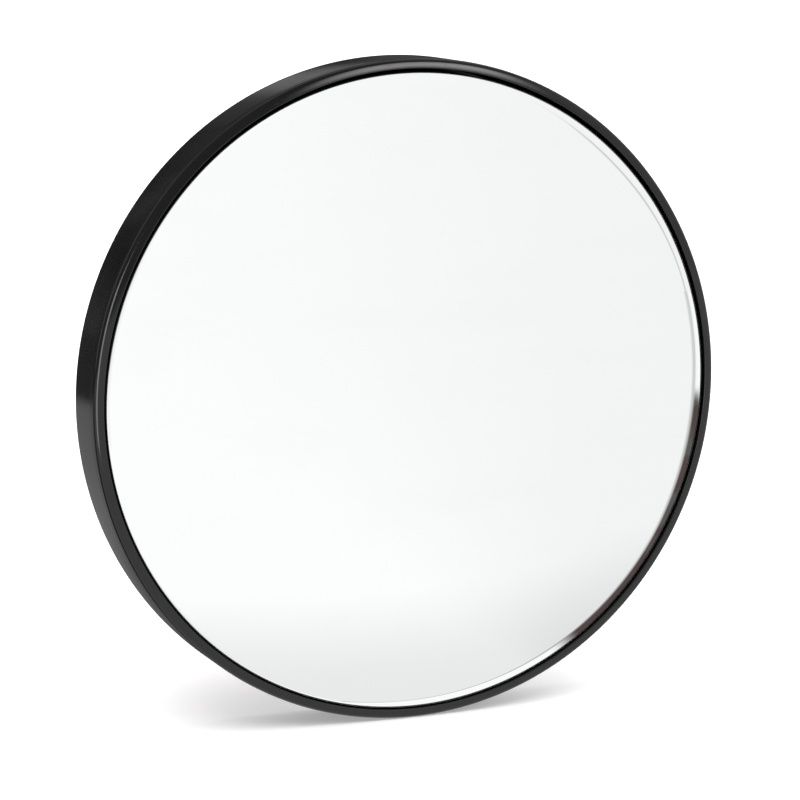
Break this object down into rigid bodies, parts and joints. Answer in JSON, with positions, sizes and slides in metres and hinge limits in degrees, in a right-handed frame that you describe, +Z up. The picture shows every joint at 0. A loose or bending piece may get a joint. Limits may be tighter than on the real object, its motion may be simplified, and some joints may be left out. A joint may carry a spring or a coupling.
{
  "type": "convex security mirror",
  "caption": "Round convex observation mirror in a black moulded rim, on a wall bracket that pans and tilts and is locked by hand knobs.",
  "frame": {"origin": "centre of the wall plate's back face, on the wall", "axes": "+Z up, -Y out from the wall towards the viewer, +X to the viewer's right when facing the mirror"},
  "size_m": [0.4, 0.2239, 0.4],
  "materials": {
    "mirror": "polished",
    "rim_plastic": "gloss moulded",
    "foam": "matt",
    "zinc_steel": "bright zinc plated",
    "powder_coat": "black powder coat",
    "nylon": "natural",
    "spring_steel": "oiled",
    "knob_plastic": "satin moulded",
    "brass": "machined",
    "cast_grey": "painted casting"
  },
  "bodies": {
    "wall_bracket": {"wall_plate": "powder_coat", "pan_clevis": "powder_coat", "pan_rivets": "zinc_steel", "pan_bolt": "zinc_steel", "pan_friction_washers": "nylon", "pan_flat_washer": "zinc_steel", "pan_spring_washer": "spring_steel"},
    "arm": {"pan_knuckle": "cast_grey", "pan_bush": "nylon", "arm_tube": "powder_coat", "arm_pins": "spring_steel", "tilt_knuckle": "cast_grey", "tilt_bush": "nylon"},
    "mirror_head": {"mirror_dome": "mirror", "front_bezel": "rim_plastic", "bonding_foam": "foam", "rear_casing": "rim_plastic", "backing_plate": "zinc_steel", "head_plate": "powder_coat", "head_bolts": "zinc_steel", "head_washers": "zinc_steel", "head_nuts": "zinc_steel", "tilt_clevis": "powder_coat", "tilt_rivets": "zinc_steel", "tilt_bolt": "zinc_steel", "tilt_friction_washers": "nylon", "tilt_flat_washer": "zinc_steel", "tilt_spring_washer": "spring_steel"},
    "pan_clamp": {"pan_knob": "knob_plastic", "pan_knob_insert": "brass"},
    "tilt_clamp": {"tilt_knob": "knob_plastic", "tilt_knob_insert": "brass"}
  },
  "joints": [
    {"name": "pan", "type": "hinge", "parent": "wall_bracket", "child": "arm", "pos_m": [0, -0.035, 0], "axis": [0, 0, 1], "range_deg": [-30, 30]},
    {"name": "tilt", "type": "hinge", "parent": "arm", "child": "mirror_head", "pos_m": [0, -0.12, 0], "axis": [1, 0, 0], "range_deg": [-15, 30]},
    {"name": "pan_knob_turn", "type": "hinge", "parent": "wall_bracket", "child": "pan_clamp", "pos_m": [0, -0.035, -0.034], "axis": [0, 0, -1], "range_deg": [0, 360]},
    {"name": "tilt_knob_turn", "type": "hinge", "parent": "mirror_head", "child": "tilt_clamp", "pos_m": [-0.034, -0.12, 0], "axis": [-1, 0, 0], "range_deg": [0, 360]}
  ]
}
